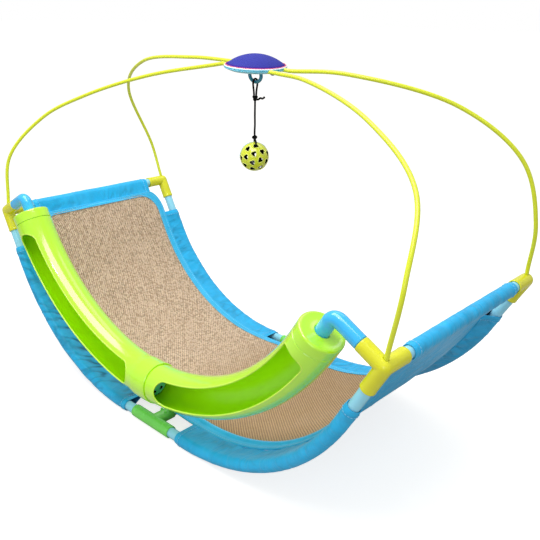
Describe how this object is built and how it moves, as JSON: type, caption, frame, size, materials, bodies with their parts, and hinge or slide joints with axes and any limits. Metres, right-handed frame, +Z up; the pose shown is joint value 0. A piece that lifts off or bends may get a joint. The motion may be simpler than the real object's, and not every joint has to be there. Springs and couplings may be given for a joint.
{
  "type": "cat scratcher bed",
  "caption": "Rocking cat bed: curved tube frame with a cloth sling and scratching mat, a ball track along one side and a ball hung from flexible rods.",
  "frame": {"origin": "on the floor under the middle of the bed", "axes": "+X along the bed, +Z up, -Y towards the side with the ball track"},
  "size_m": [0.8053, 0.3748, 0.5286],
  "materials": {
    "tube": "gloss light blue",
    "tee": "gloss green",
    "connector": "gloss yellow",
    "elbow": "gloss blue",
    "track": "gloss lime green",
    "rod": "satin lemon yellow",
    "hub_base": "gloss light blue",
    "hub_top": "gloss pale pink",
    "hub_disc": "satin dark blue",
    "rivet": "dark blue",
    "cord": "black braid",
    "ball_green": "yellow green",
    "ball_blue": "light blue",
    "bell": "satin",
    "fabric": "blue cloth",
    "mat": "tan sisal weave"
  },
  "bodies": {
    "frame": {"front_rail_left": "tube", "back_rail_left": "tube", "front_rail_right": "tube", "back_rail_right": "tube", "left_cross_tube": "tube", "bottom_cross_tube": "tube", "right_cross_tube": "tube", "front_tee": "tee", "front_left_connector": "connector", "front_right_connector": "connector", "back_tee": "tee", "back_left_connector": "connector", "back_right_connector": "connector", "left_elbow": "elbow", "track_left_cap": "track", "right_elbow": "elbow", "track_right_cap": "track", "track_left_half": "track", "track_right_half": "track", "front_rod": "rod", "back_rod": "rod", "hub_base": "hub_base", "hub_top": "hub_top", "hub_disc": "hub_disc", "hub_rivet_left": "rivet", "hub_rivet_right": "rivet", "front_sleeve_left": "fabric", "back_sleeve_left": "fabric", "left_end_sleeve": "fabric", "front_sleeve_right": "fabric", "back_sleeve_right": "fabric", "right_end_sleeve": "fabric", "sling": "fabric", "scratch_mat": "mat"},
    "track_ball": {"track_ball_left": "ball_green", "track_ball_right": "ball_blue", "track_bell": "bell"},
    "toy_loop": {"cord_loop": "cord"},
    "toy": {"cord_strand": "cord", "toy_ball_front": "ball_green", "toy_ball_back": "ball_blue", "toy_bell": "bell"}
  },
  "joints": [
    {"name": "track_ball_travel", "type": "hinge", "parent": "frame", "child": "track_ball", "pos_m": [0, -0.157, 0.42836], "axis": [0, 1, 0], "range_deg": [-54, 54]},
    {"name": "toy_swing_across", "type": "hinge", "parent": "frame", "child": "toy_loop", "pos_m": [0.03974, 0.01158, 0.49157], "axis": [1, 0, 0], "range_deg": [-60, 60]},
    {"name": "toy_swing_along", "type": "hinge", "parent": "toy_loop", "child": "toy", "pos_m": [0.03974, 0.01158, 0.47007], "axis": [0, 1, 0], "range_deg": [-50, 50]}
  ]
}
